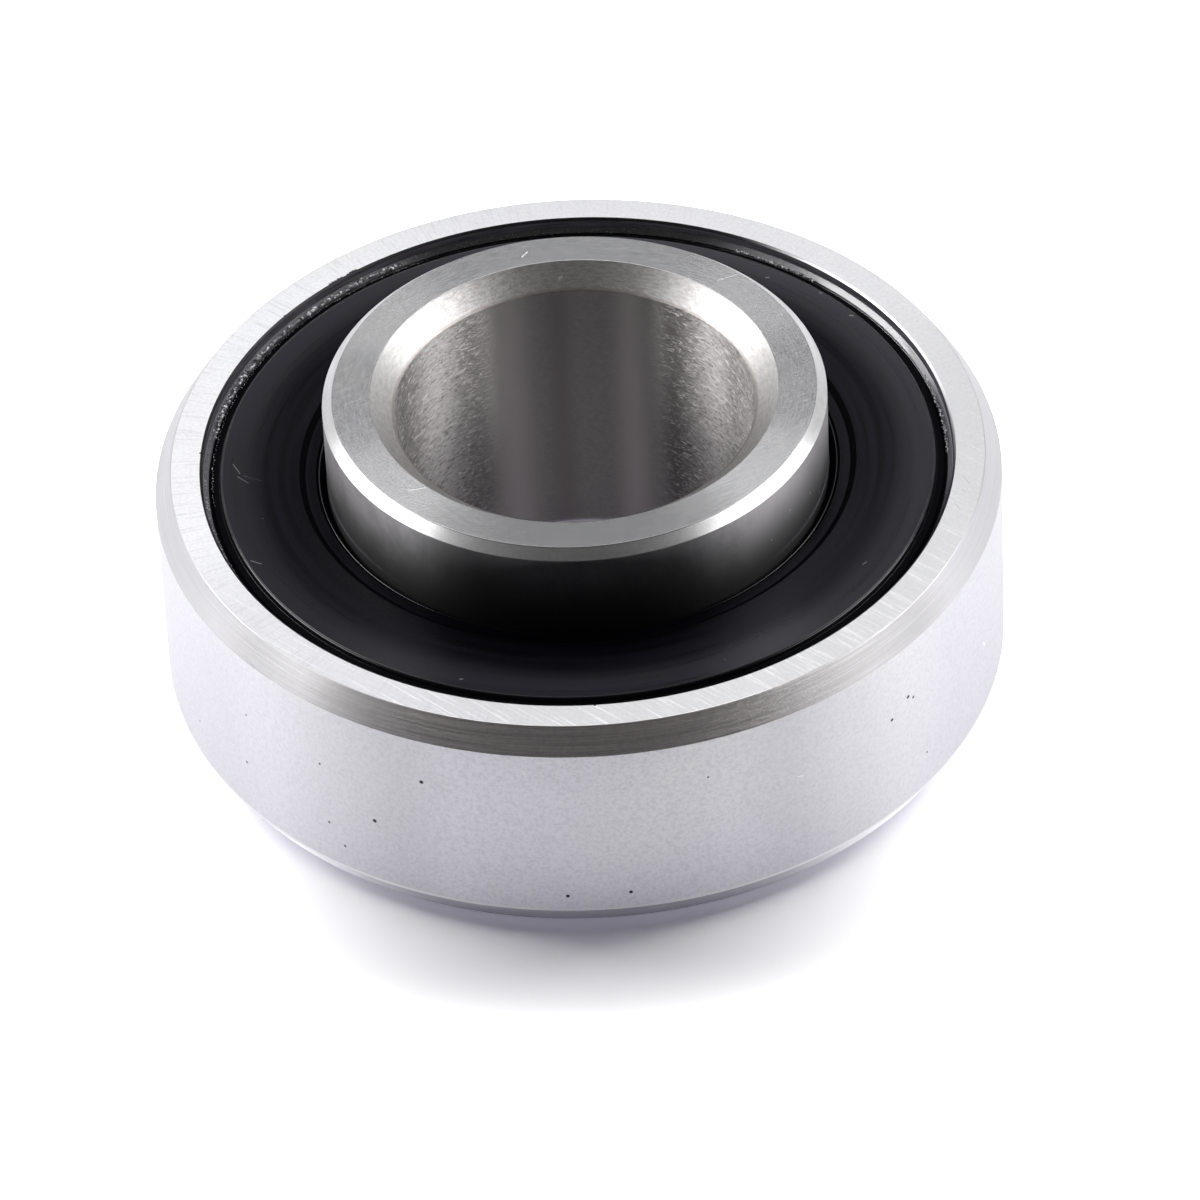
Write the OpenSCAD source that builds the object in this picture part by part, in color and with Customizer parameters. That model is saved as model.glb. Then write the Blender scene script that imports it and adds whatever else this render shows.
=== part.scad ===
// Spigot bearing: a sealed ball bearing whose inner ring stands out as a short nose on one side.
// Millimetres. The axis is Z, the origin is on the axis at the lower face, and the nose points up.

/* [Rings] */
// Bore of the inner ring, which the shaft's spigot runs in
bore_d = 17; // [10:0.5:25]
// Wall of the inner ring between the bore and the bottom of its ball groove
inner_wall = 2.355; // [1.8:0.005:3]
// Wall of the outer ring between the bottom of its ball groove and the outside
outer_wall = 2.355; // [1.8:0.005:3]
// How far the inner ring's nose stands out above the outer ring's face
nose_l = 4; // [1:0.25:10]
// Depth of the ball groove in the inner ring
inner_groove = 1; // [0.8:0.05:1.1]
// Depth of the ball groove in the outer ring
outer_groove = 1.15; // [0.9:0.05:1.3]
// Wall of the outer ring at its face, from the outside to the seal's recess
rim_wall = 2.27; // [1.9:0.01:2.5]

/* [Chamfers] */
// Outer ring's corner, measured along the axis
rim_chamfer_z = 1.23; // [0.6:0.01:1.6]
// Outer ring's corner, measured across the face
rim_chamfer_r = 0.78; // [0.5:0.01:1]
// Broken edge of the outer ring's recess
recess_edge = 0.1; // [0.05:0.01:0.2]
// Lead-in at the nose's bore, measured along the axis
nose_lead_z = 1; // [0.5:0.05:1.5]
// Lead-in at the nose's bore, measured across the end face
nose_lead_r = 1.1; // [0.5:0.05:1.3]
// Nose's outer corner, measured along the axis
nose_edge_z = 0.45; // [0.2:0.05:0.8]
// Nose's outer corner, measured across the end face
nose_edge_r = 0.49; // [0.2:0.01:0.8]
// Lead-in at the lower end of the bore
foot_lead = 0.8; // [0.4:0.05:1.2]
// Lower outer corner of the inner ring
foot_edge = 0.3; // [0.1:0.05:0.6]

/* [Balls] */
// Diameter of a ball
ball_d = 6.747; // [5.5:0.001:8.5]
// Running gap between a ball and each groove
ball_play = 0.0215; // [0.01:0.0005:0.05]
// Radius of the ball grooves as a share of the ball's diameter
race_fit = 0.52; // [0.51:0.005:0.54]

/* [Cage] */
// Thickness of the pressed steel strip
sheet_t = 0.6; // [0.4:0.05:0.7]
// Width of the strip, measured along a radius
strip_w = 2.9; // [2.4:0.1:3.2]
// Gap between a ball and its pocket
pocket_gap = 0.1; // [0.05:0.01:0.2]
// Height of the slope that blends a pocket into the flats
bend_h = 0.5; // [0.3:0.05:0.6]
// Room between the crown of a pocket and the underside of a seal
cage_room = 0.5665; // [0.2:0.0005:1]
// Least room on the flats between a pocket's slope and the head of a rivet
rivet_room = 0.1; // [0.05:0.05:0.3]

/* [Rivets] */
// Diameter of a rivet's shank
rivet_d = 1; // [0.7:0.05:1.2]
// Diameter of a rivet's domed heads
head_d = 1.8; // [1.4:0.05:1.9]
// Height of a rivet's domed heads
head_h = 0.45; // [0.3:0.05:0.6]
// Gap between a shank and its hole
rivet_fit = 0.02; // [0.01:0.01:0.05]

/* [Seals] */
// Depth of the seal's seat below the ring's face
seat_depth = 1.65; // [1.5:0.05:1.75]
// How far the seal's groove is cut into the wall of the recess
groove_depth = 0.42; // [0.3:0.01:0.6]
// Height of the recess wall above the groove
recess_wall_h = 0.55; // [0.45:0.01:0.7]
// Height of the slope that leads from the recess wall into the groove
groove_slope_h = 0.3; // [0.2:0.01:0.4]
// Gap between the seal's bead and its groove
seal_fit = 0.02; // [0.01:0.01:0.05]
// Depth of the bead's top edge below the ring's face
bead_depth = 0.43; // [0.35:0.01:0.44]
// Width of the bead's sloping top
bead_w = 0.24; // [0.15:0.01:0.35]
// Depth of the trench between the bead and the seal's shoulder
trench_depth = 0.8; // [0.75:0.01:0.95]
// Width of the floor of that trench
trench_w = 0.08; // [0.04:0.01:0.15]
// Width of the trench's inner flank
flank_w = 0.14; // [0.08:0.01:0.2]
// Depth of the sharp edge at the foot of the shoulder
foot_depth = 0.68; // [0.5:0.01:0.73]
// Width of the shoulder's slope
shoulder_w = 0.37; // [0.2:0.01:0.6]
// Depth of the shoulder's top edge below the ring's face
shoulder_depth = 0.36; // [0.25:0.01:0.45]
// How far the seal's broad face is dished
dish_depth = 0.1; // [0.04:0.01:0.2]
// Thickness of the seal's web under its shoulder
web_t = 1; // [0.8:0.05:1.05]
// Width of the flexible lip zone, from the shaft's land outwards
lip_zone_w = 1.29; // [1:0.01:1.6]
// Depth of the step down into the lip zone
lip_step = 0.2; // [0.1:0.01:0.3]
// Width of that step's slope
lip_step_w = 0.28; // [0.1:0.01:0.4]
// Distance of the crease behind the lip from the land
crease_off = 0.5; // [0.45:0.01:0.6]
// Width of the crease
crease_w = 0.13; // [0.08:0.01:0.2]
// Depth of the crease
crease_depth = 0.16; // [0.08:0.01:0.25]
// Height by which the lip's tip lies below its crest
lip_drop = 0.42; // [0.2:0.01:0.5]
// Thickness of the lip's tip
lip_t = 0.22; // [0.1:0.01:0.3]
// Running gap between the lip and the land
lip_gap = 0.05; // [0.02:0.01:0.1]

/* [Hidden] */
$fn = 128;

// Radii of the rings, from the bore outwards; the outside diameter comes to 40
bore_r = bore_d / 2;
ball_r = ball_d / 2;
race_r = race_fit * ball_d;
inner_race_r = bore_r + inner_wall;
inner_land_r = inner_race_r + inner_groove;
pitch_r = inner_race_r + ball_play + ball_r;
outer_race_r = pitch_r + ball_r + ball_play;
outer_land_r = outer_race_r - outer_groove;
outer_r = outer_race_r + outer_wall;
recess_r = outer_r - rim_wall;
groove_r = recess_r + groove_depth;

// Cage pockets: the inner and the outer sphere round a ball
pocket_r = ball_r + pocket_gap;
shell_r = pocket_r + sheet_t;

// Heights, from the balls' plane to the ring's face; the outer ring's width comes to 12
mid_z = shell_r + cage_room + web_t + shoulder_depth;
ring_w = 2 * mid_z;
seat_z = ring_w - seat_depth;
groove_top_z = ring_w - recess_wall_h - groove_slope_h;
nose_z = ring_w + nose_l;

// Cage: the 45 degree slope that joins a pocket to the flats, and the rivets' holes
flare_h = sheet_t + bend_h;
flare_r = sqrt(pow(shell_r, 2) - pow(flare_h, 2)) + flare_h;
mouth_r = flare_r - sqrt(2) * sheet_t;
rivet_hole_r = rivet_d / 2 + rivet_fit;

// As many balls as the pitch circle holds with a rivet between each two
rivet_reach = flare_r - sheet_t + rivet_room + head_d / 2;
ball_count = floor(90 / asin(rivet_reach / (2 * pitch_r)));
ball_step = 360 / ball_count;

// Seal: radii of the edges in its front face, from the bead inwards
bead_r = recess_r - seal_fit;
trench_r = bead_r - bead_w;
flank_r = trench_r - trench_w;
shoulder_foot_r = flank_r - flank_w;
shoulder_r = shoulder_foot_r - shoulder_w;
lip_zone_r = inner_land_r + lip_zone_w;
lip_floor_r = lip_zone_r - lip_step_w;
crease_r = inner_land_r + crease_off;
crest_r = crease_r - crease_w;
lip_r = inner_land_r + lip_gap;
web_z = ring_w - shoulder_depth - web_t;
face_z = ring_w - shoulder_depth;
lip_floor_z = face_z - lip_step;
tip_z = lip_floor_z - lip_drop;

// Radius of the arc that dishes the broad face, from its chord and its depth
dish_chord = shoulder_r - lip_zone_r;
dish_r = (pow(dish_chord / 2, 2) + pow(dish_depth, 2)) / (2 * dish_depth);

// Upper half of the outer ring's section, from the middle of the outside round to the land
outer_half = [
    [outer_r, ring_w - rim_chamfer_z],
    [outer_r - rim_chamfer_r, ring_w],
    [recess_r + recess_edge, ring_w],
    [recess_r, ring_w - recess_edge],
    [recess_r, ring_w - recess_wall_h],
    [groove_r, groove_top_z],
    [groove_r, seat_z],
    [outer_land_r, seat_z]
];

// The same points mirrored in the middle plane, in the order that closes the section
function lower_half(points) = [
    for (i = [len(points) - 1:-1:0]) [points[i][0], ring_w - points[i][1]]
];

// Turns a child about the bearing's middle plane, to make the lower one of two like pieces
module lower_side() {
    translate([0, 0, ring_w]) mirror([0, 0, 1]) children();
}

module outer_ring() {
    color([0.84, 0.84, 0.86])
    rotate_extrude() difference() {
        polygon(concat(outer_half, lower_half(outer_half)));
        translate([outer_race_r - race_r, mid_z]) circle(r = race_r);
    }
}

module inner_ring() {
    color([0.72, 0.72, 0.74])
    rotate_extrude() difference() {
        polygon([
            [bore_r + foot_lead, 0],
            [inner_land_r - foot_edge, 0],
            [inner_land_r, foot_edge],
            [inner_land_r, nose_z - nose_edge_z],
            [inner_land_r - nose_edge_r, nose_z],
            [bore_r + nose_lead_r, nose_z],
            [bore_r, nose_z - nose_lead_z],
            [bore_r, foot_lead]
        ]);
        translate([inner_race_r + race_r, mid_z]) circle(r = race_r);
    }
}

// Rubber seal: a bead in the ring's groove, a raised web with a dished face, and a lip on the land
module seal() {
    color([0.12, 0.12, 0.14])
    rotate_extrude() difference() {
        polygon([
            [outer_land_r + seal_fit, seat_z],
            [groove_r - seal_fit, seat_z],
            [groove_r - seal_fit, groove_top_z - seal_fit],
            [bead_r, ring_w - recess_wall_h - seal_fit],
            [bead_r, ring_w - bead_depth],
            [trench_r, ring_w - trench_depth],
            [flank_r, ring_w - trench_depth],
            [shoulder_foot_r, ring_w - foot_depth],
            [shoulder_r, face_z],
            [lip_zone_r, face_z],
            [lip_floor_r, lip_floor_z],
            [crease_r, lip_floor_z],
            [crease_r - crease_w / 2, lip_floor_z - crease_depth],
            [crest_r, lip_floor_z],
            [lip_r, tip_z],
            [lip_r, tip_z - lip_t],
            [crease_r, web_z],
            [outer_land_r - seal_fit, web_z]
        ]);
        translate([(shoulder_r + lip_zone_r) / 2, face_z - dish_depth + dish_r]) circle(r = dish_r, $fn = 256);
    }
}

module upper_seal() {
    seal();
}

module lower_seal() {
    lower_side() seal();
}

module ball(i) {
    color([0.8, 0.8, 0.82])
    ball_place(i) translate([0, 0, mid_z]) sphere(r = ball_r);
}

// Outside of one pressed pocket: the shell over a ball, and the slope that flares it into the flats.
// The slope's cone runs on inside the sphere, to twice the height at which it leaves it.
module pocket_outside() {
    sphere(r = shell_r);
    cylinder(r1 = flare_r, r2 = flare_r - 2 * flare_h, h = 2 * flare_h);
}

// Hollow of the same pocket, one strip's thickness inside it
module pocket_hollow() {
    sphere(r = pocket_r);
    translate([0, 0, -sheet_t]) cylinder(r1 = mouth_r + sheet_t, r2 = mouth_r - flare_h, h = sheet_t + flare_h);
}

// Puts a child on the pitch circle, at the place of one ball
module ball_place(i) {
    rotate([0, 0, i * ball_step]) translate([pitch_r, 0, 0]) children();
}

// Puts a child on the pitch circle, half way between two balls
module rivet_place(i) {
    ball_place(i + 0.5) children();
}

// One pressed half of the cage, standing on the balls' plane with its pockets upwards
module cage_half() {
    color([0.66, 0.66, 0.67])
    difference() {
        intersection() {
            union() {
                cylinder(r = pitch_r + strip_w, h = sheet_t);
                for (i = [1:ball_count]) ball_place(i) pocket_outside();
            }
            rotate_extrude() translate([pitch_r - strip_w / 2, 0]) square([strip_w, 2 * shell_r]);
        }
        for (i = [1:ball_count]) ball_place(i) pocket_hollow();
        for (i = [1:ball_count]) {
            rivet_place(i) translate([0, 0, -sheet_t]) cylinder(r = rivet_hole_r, h = 3 * sheet_t);
        }
    }
}

module upper_cage() {
    translate([0, 0, mid_z]) cage_half();
}

module lower_cage() {
    lower_side() translate([0, 0, mid_z]) cage_half();
}

// Domed head that stands on the strip, cut from a sphere
module rivet_head() {
    dome_r = (pow(head_d / 2, 2) + pow(head_h, 2)) / (2 * head_h);
    translate([0, 0, sheet_t]) intersection() {
        translate([0, 0, head_h - dome_r]) sphere(r = dome_r);
        cylinder(r = head_d, h = 2 * head_h);
    }
}

module rivet(i) {
    color([0.7, 0.7, 0.71])
    rivet_place(i) translate([0, 0, mid_z]) union() {
        translate([0, 0, -sheet_t]) cylinder(d = rivet_d, h = 2 * sheet_t);
        rivet_head();
        mirror([0, 0, 1]) rivet_head();
    }
}

outer_ring();
inner_ring();
upper_seal();
lower_seal();
upper_cage();
lower_cage();
for (i = [1:ball_count]) ball(i);
for (i = [1:ball_count]) rivet(i);
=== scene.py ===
import math
import bpy
from mathutils import Matrix, Vector


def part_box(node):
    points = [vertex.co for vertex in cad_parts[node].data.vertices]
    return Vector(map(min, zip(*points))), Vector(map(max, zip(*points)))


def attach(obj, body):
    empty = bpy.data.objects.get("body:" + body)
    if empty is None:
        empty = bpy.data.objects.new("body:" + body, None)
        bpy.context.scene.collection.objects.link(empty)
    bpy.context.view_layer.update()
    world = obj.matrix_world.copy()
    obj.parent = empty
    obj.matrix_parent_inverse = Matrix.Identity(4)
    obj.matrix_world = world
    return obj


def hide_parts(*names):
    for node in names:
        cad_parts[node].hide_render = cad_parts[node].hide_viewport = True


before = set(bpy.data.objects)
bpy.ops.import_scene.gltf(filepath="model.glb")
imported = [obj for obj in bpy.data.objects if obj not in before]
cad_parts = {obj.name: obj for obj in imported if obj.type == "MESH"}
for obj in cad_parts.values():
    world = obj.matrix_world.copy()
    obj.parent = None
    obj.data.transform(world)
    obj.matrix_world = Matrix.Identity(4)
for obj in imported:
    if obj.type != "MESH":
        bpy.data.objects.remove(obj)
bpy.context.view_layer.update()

# Sizes of the bearing in millimetres. MM turns them into metres.
MM = 0.001


def size_of(node, corner, axis):
    """One coordinate of a CAD node's box, in millimetres"""
    return round(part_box(node)[corner][axis] / MM, 2)


# Rings
outer_r = size_of("outer_ring", 1, 0)
ring_w = size_of("outer_ring", 1, 2)
nose_z = size_of("inner_ring", 1, 2)
inner_land_r = 11.855
bore_r = 8.5
mid_z = ring_w / 2
outer_race_r = 17.645
inner_race_r = 10.855
race_r = 3.508
outer_land_r = 16.495
recess_r = 17.73
recess_edge = 0.08
recess_wall_h = 0.55
groove_r = 18.15
groove_top_depth = 0.85
seat_depth = 1.65

# Corners of the rings
rim_chamfer_z = 1.23
rim_chamfer_r = 0.78
nose_lead_z = 1.0
nose_lead_r = 1.1
nose_edge_z = 0.45
nose_edge_r = 0.49
foot_lead = 0.8
foot_edge = 0.3

# Seal: radius and depth below the ring's face of each edge in its section
seal_fit = 0.02
bead_r = 17.71
bead_depth = 0.43
trench_r = 17.47
trench_depth = 0.8
flank_r = 17.39
shoulder_foot_r = 17.25
foot_depth = 0.68
bead_foot_depth = 0.67
shoulder_lean = 0.07
shoulder_r = 16.88
shoulder_depth = 0.36
dish_depth = 0.1
lip_zone_r = 13.145
lip_floor_r = 12.865
lip_floor_depth = 0.56
crease_r = 12.355
crease_w = 0.13
crease_depth = 0.16
lip_r = 11.905
tip_depth = 0.98
lip_t = 0.22
web_depth = 1.36

# Broken edges of the turned and moulded pieces
sharp_round = 0.02
ground_round = 0.05
turned_round = 0.08
moulded_round = 0.04
bead_round = 0.07
shoulder_round = 0.12
crest_round = 0.08
round_steps = 3
flat_margin = 0.02
turn_segments = 480

# Marks on the outside: turn from the front in degrees, height and reach in millimetres
OUTSIDE_PITS = [
    (-23.3, 8.28, 0.12),
    (-30.7, 4.96, 0.13),
    (-39.1, 7.16, 0.08),
    (-35.8, 2.59, 0.08),
    (-38.2, 3.68, 0.08),
    (-53.8, 4.18, 0.09),
    (-53.1, 7.29, 0.07),
    (-66.8, 3.40, 0.07),
    (-4.2, 2.16, 0.11),
    (4.2, 2.22, 0.11),
    (15.2, 8.54, 0.06),
    (47.5, 7.68, 0.12),
    (48.6, 7.40, 0.09),
    (44.2, 7.04, 0.11),
    (51.4, 3.26, 0.07),
]
SEAL_SCRATCHES = [
    ((-93.6, 16.30, 11.60), (-91.2, 15.95, 11.58), 0.05),
    ((-90.4, 16.05, 11.58), (-88.6, 15.55, 11.57), 0.05),
    ((-90.6, 15.75, 11.57), (-89.0, 14.95, 11.56), 0.04),
    ((-68.6, 16.62, 11.61), (-67.2, 16.25, 11.59), 0.06),
    ((133.4, 16.80, 11.62), (133.8, 16.72, 11.62), 0.09),
    ((125.7, 16.66, 11.61), (126.1, 16.58, 11.61), 0.09),
    ((143.4, 16.18, 11.58), (143.8, 16.10, 11.58), 0.08),
    ((-21.3, 16.23, 11.59), (-21.0, 16.18, 11.59), 0.09),
    ((57.0, 15.50, 11.56), (57.8, 15.55, 11.56), 0.06),
    ((-132.0, 14.60, 11.55), (-131.4, 14.52, 11.55), 0.06),
]
NOSE_SCRATCHES = [
    ((-169.6, 10.55, 16.0), (-167.8, 10.25, 16.0), 0.07, (0.90, 0.90, 0.90)),
    ((134.6, 11.25, 16.0), (136.8, 10.30, 16.0), 0.05, (0.80, 0.80, 0.80)),
    ((-49.5, 10.40, 16.0), (-47.0, 9.70, 16.0), 0.06, (0.80, 0.80, 0.80)),
    ((-17.2, 11.00, 16.0), (-16.6, 10.85, 16.0), 0.10, (0.20, 0.20, 0.20)),
]
LEAD_MARKS = [
    ((-177.9, 9.02, 15.47), (-177.2, 8.98, 15.43), 0.12, (0.95, 0.95, 0.95)),
]
# Painted reflection bands in the bore: turn from the front in degrees, half width and colour
BORE_REFLECTION_BANDS = [
    (-160.0, 0.20, (0.66, 0.63, 0.62)),
    (161.0, 0.15, (0.62, 0.59, 0.58)),
    (146.0, 0.12, (0.22, 0.21, 0.205)),
    (-176.0, 0.12, (0.34, 0.32, 0.315)),
    (-130.0, 0.30, (1.0, 0.97, 0.96)),
    (-104.0, 0.24, (0.28, 0.27, 0.265)),
    (128.0, 0.26, (0.86, 0.83, 0.82)),
    (106.0, 0.26, (0.56, 0.54, 0.53)),
]
OUTSIDE_SCUFFS = [
    ((-9.4, 20.0, 9.85), (-8.9, 20.0, 9.55), 0.10),
    ((-7.2, 20.0, 10.40), (-5.6, 20.0, 10.46), 0.07),
    ((-3.4, 20.0, 9.80), (-2.4, 20.0, 9.74), 0.06),
    ((-16.2, 20.0, 8.05), (-15.8, 20.0, 7.80), 0.06),
    ((-4.4, 20.0, 8.00), (-4.1, 20.0, 7.95), 0.08),
    ((14.0, 20.0, 9.20), (14.6, 20.0, 9.10), 0.07),
    ((28.0, 20.0, 6.80), (28.8, 20.0, 6.72), 0.06),
    ((68.6, 20.0, 5.30), (69.2, 20.0, 5.00), 0.12),
]
FACE_SCRATCHES = [
    ((80.6, 18.25, 12.0), (79.0, 18.62, 12.0), 0.05),
    ((77.6, 18.35, 12.0), (76.9, 18.52, 12.0), 0.04),
    ((74.2, 18.24, 12.0), (72.9, 18.55, 12.0), 0.04),
]
FACE_BITES = [
    (-139.9, 17.84, 12.0, 0.09),
    (-140.5, 17.84, 12.0, 0.11),
    (-141.0, 17.84, 12.0, 0.08),
    (-141.6, 17.84, 12.0, 0.12),
    (-142.2, 17.84, 12.0, 0.09),
    (-143.4, 17.84, 12.0, 0.08),
    (-144.0, 17.84, 12.0, 0.12),
    (-144.5, 17.84, 12.0, 0.13),
    (-145.0, 17.84, 12.0, 0.10),
    (-129.8, 17.84, 12.0, 0.07),
    (-94.7, 17.84, 12.0, 0.08),
    (0.7, 17.84, 12.0, 0.08),
]
LAND_SPECKS = [
    (61.7, 15.20, 0.07),
    (65.1, 13.13, 0.08),
    (55.3, 13.65, 0.07),
    (71.5, 12.10, 0.08),
    (48.0, 12.90, 0.06),
]
CORNER_SPOTS = [
    (-0.3, 19.60, 11.02, 0.13, (0.62, 0.20, 0.22)),
    (6.0, 19.49, 10.96, 0.09, (0.50, 0.16, 0.16)),
    (10.3, 19.29, 11.23, 0.08, (0.75, 0.76, 0.72)),
]


def set_camera():
    """The photograph's view: a long lens about 40 degrees above the ring's face, rolled a little"""
    lens = 281.956
    distance = 0.443046
    rise = 40.098
    yaw = -0.0933
    pitch = -0.8949
    roll = 2.8833
    data = bpy.data.cameras.new("camera")
    data.sensor_width = 36.0
    data.lens = lens
    data.clip_start = 0.01
    data.clip_end = 20.0
    camera = bpy.data.objects.new("camera", data)
    bpy.context.scene.collection.objects.link(camera)
    up = math.radians(rise)
    place = Vector((0, -math.cos(up), math.sin(up))) * distance + Vector((0, 0, ring_w * MM))
    turns = [(90 - rise, "X"), (yaw, "Y"), (pitch, "X"), (-roll, "Z")]
    view = Matrix.Translation(place)
    for angle, axis in turns:
        view = view @ Matrix.Rotation(math.radians(angle), 4, axis)
    camera.matrix_world = view
    bpy.context.scene.camera = camera


set_camera()


def round_point(turn, radius, height):
    """A point in millimetres at a turn from the front, a radius and a height"""
    angle = math.radians(turn)
    return (radius * math.sin(angle), -radius * math.cos(angle), height)


class Finish:
    """A material built node by node, with one principled shader and the bearing's own round coordinates"""

    def __init__(self, name, metal, roughness):
        self.material = bpy.data.materials.new(name)
        self.material.use_nodes = True
        self.tree = self.material.node_tree
        self.tree.nodes.clear()
        self.output = self.node("ShaderNodeOutputMaterial")
        self.shader = self.node("ShaderNodeBsdfPrincipled")
        self.tree.links.new(self.shader.outputs["BSDF"], self.output.inputs["Surface"])
        self.shader.inputs["Metallic"].default_value = metal
        self.shader.inputs["Roughness"].default_value = roughness
        self.place = self.node("ShaderNodeVectorMath", "SCALE", self.node("ShaderNodeTexCoord").outputs["Object"])
        self.place.inputs["Scale"].default_value = 1 / MM
        self.place = self.place.outputs[0]
        axes = self.node("ShaderNodeSeparateXYZ", None, self.place)
        self.x, self.y, self.height = axes.outputs
        self.radius = self.math("SQRT", self.math("ADD", self.math("MULTIPLY", self.x, self.x),
                                                  self.math("MULTIPLY", self.y, self.y)))
        self.side_x = self.math("DIVIDE", self.x, self.radius)
        self.side_y = self.math("DIVIDE", self.y, self.radius)

    def node(self, kind, operation=None, *values):
        """One node, with its operation, and its first inputs set or linked in order"""
        made = self.tree.nodes.new(kind)
        if operation:
            made.operation = operation
        for socket, value in zip(made.inputs, values):
            self.give(socket, value)
        return made

    def give(self, socket, value):
        """Sets a socket to a number or colour, or links it to another node's output"""
        if isinstance(value, bpy.types.NodeSocket):
            self.tree.links.new(value, socket)
        elif value is not None:
            socket.default_value = value

    def math(self, operation, *values):
        """The result of one Math node"""
        return self.node("ShaderNodeMath", operation, *values).outputs[0]

    def ramp(self, value, low, high, start=0.0, end=1.0):
        """A value taken smoothly from start to end while it goes from low to high"""
        made = self.node("ShaderNodeMapRange")
        made.interpolation_type = "SMOOTHSTEP"
        for socket, given in zip(made.inputs, (value, low, high, start, end)):
            self.give(socket, given)
        return made.outputs[0]

    def round_place(self, around, across, up):
        """A place measured round the axis, across the radius and along the height, for streaks that follow the turning"""
        made = self.node("ShaderNodeCombineXYZ")
        self.give(made.inputs[0], self.math("MULTIPLY", self.side_x, around))
        self.give(made.inputs[1], self.math("MULTIPLY", self.side_y, around))
        depth = self.math("ADD", self.math("MULTIPLY", self.radius, across), self.math("MULTIPLY", self.height, up))
        self.give(made.inputs[2], depth)
        return made.outputs[0]

    def noise(self, place, scale=1.0, detail=3.0, roughness=0.5, distortion=0.0):
        """Noise from 0 to 1 about one half"""
        made = self.node("ShaderNodeTexNoise")
        self.give(made.inputs["Vector"], place)
        made.inputs["Scale"].default_value = scale
        made.inputs["Detail"].default_value = detail
        made.inputs["Roughness"].default_value = roughness
        made.inputs["Distortion"].default_value = distortion
        return made.outputs["Fac"]

    def specks(self, scale, share, size):
        """Small round marks scattered at random, in the given share of cells"""
        cells = self.node("ShaderNodeTexVoronoi")
        self.give(cells.inputs["Vector"], self.place)
        cells.inputs["Scale"].default_value = scale
        dot = self.ramp(cells.outputs["Distance"], size * 0.5, size, 1.0, 0.0)
        chosen = self.node("ShaderNodeSeparateColor", None, cells.outputs["Color"]).outputs[0]
        return self.math("MULTIPLY", dot, self.math("LESS_THAN", chosen, share))

    def spot(self, centre, reach):
        """One small mark about a place in millimetres"""
        away = self.node("ShaderNodeVectorMath", "DISTANCE", self.place, centre).outputs["Value"]
        return self.ramp(away, reach * 0.6, reach, 1.0, 0.0)

    def scratch(self, start, end, width):
        """A thin mark from one place in millimetres to another"""
        along = Vector(end) - Vector(start)
        offset = self.node("ShaderNodeVectorMath", "SUBTRACT", self.place, start).outputs[0]
        reach = self.node("ShaderNodeVectorMath", "DOT_PRODUCT", offset, along / along.length_squared)
        share = self.node("ShaderNodeClamp", None, reach.outputs["Value"]).outputs[0]
        foot = self.node("ShaderNodeVectorMath", "SCALE", along)
        self.give(foot.inputs["Scale"], share)
        away = self.node("ShaderNodeVectorMath", "DISTANCE", offset, foot.outputs[0]).outputs["Value"]
        return self.ramp(away, width * 0.3, width * 0.7, 1.0, 0.0)

    def mix(self, share, first, second):
        """A colour between two others"""
        made = self.node("ShaderNodeMix")
        made.data_type = "RGBA"
        for socket, value in zip((made.inputs[0], made.inputs[6], made.inputs[7]), (share, first, second)):
            if isinstance(value, tuple) and len(value) == 3:
                value = (*value, 1.0)
            self.give(socket, value)
        return made.outputs[2]

    def colour(self, value):
        """Sets or links the shader's colour"""
        self.give(self.shader.inputs["Base Color"], (*value, 1.0) if isinstance(value, tuple) else value)

    def roughness(self, value):
        self.give(self.shader.inputs["Roughness"], value)

    def brushed(self, amount, outward=False):
        """Spreads highlights across the turning lines: along the axis, or outwards from it on an end face"""
        axis = self.node("ShaderNodeVectorTransform")
        axis.vector_type = "VECTOR"
        axis.convert_from = "OBJECT"
        axis.convert_to = "WORLD"
        axis.inputs[0].default_value = (0, 0, 1)
        if outward:
            ray = self.node("ShaderNodeCombineXYZ", None, self.side_x, self.side_y)
            self.give(axis.inputs[0], ray.outputs[0])
        self.give(self.shader.inputs["Tangent"], axis.outputs[0])
        self.shader.inputs["Anisotropic"].default_value = amount

    def bump(self, height, depth, strength=1.0):
        """Relief of the given depth in millimetres, over any relief that was there before"""
        made = self.node("ShaderNodeBump")
        made.inputs["Strength"].default_value = strength
        made.inputs["Distance"].default_value = depth * MM
        self.give(made.inputs["Height"], height)
        before = self.shader.inputs["Normal"].links
        if before:
            self.give(made.inputs["Normal"], before[0].from_socket)
        self.give(self.shader.inputs["Normal"], made.outputs[0])


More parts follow.
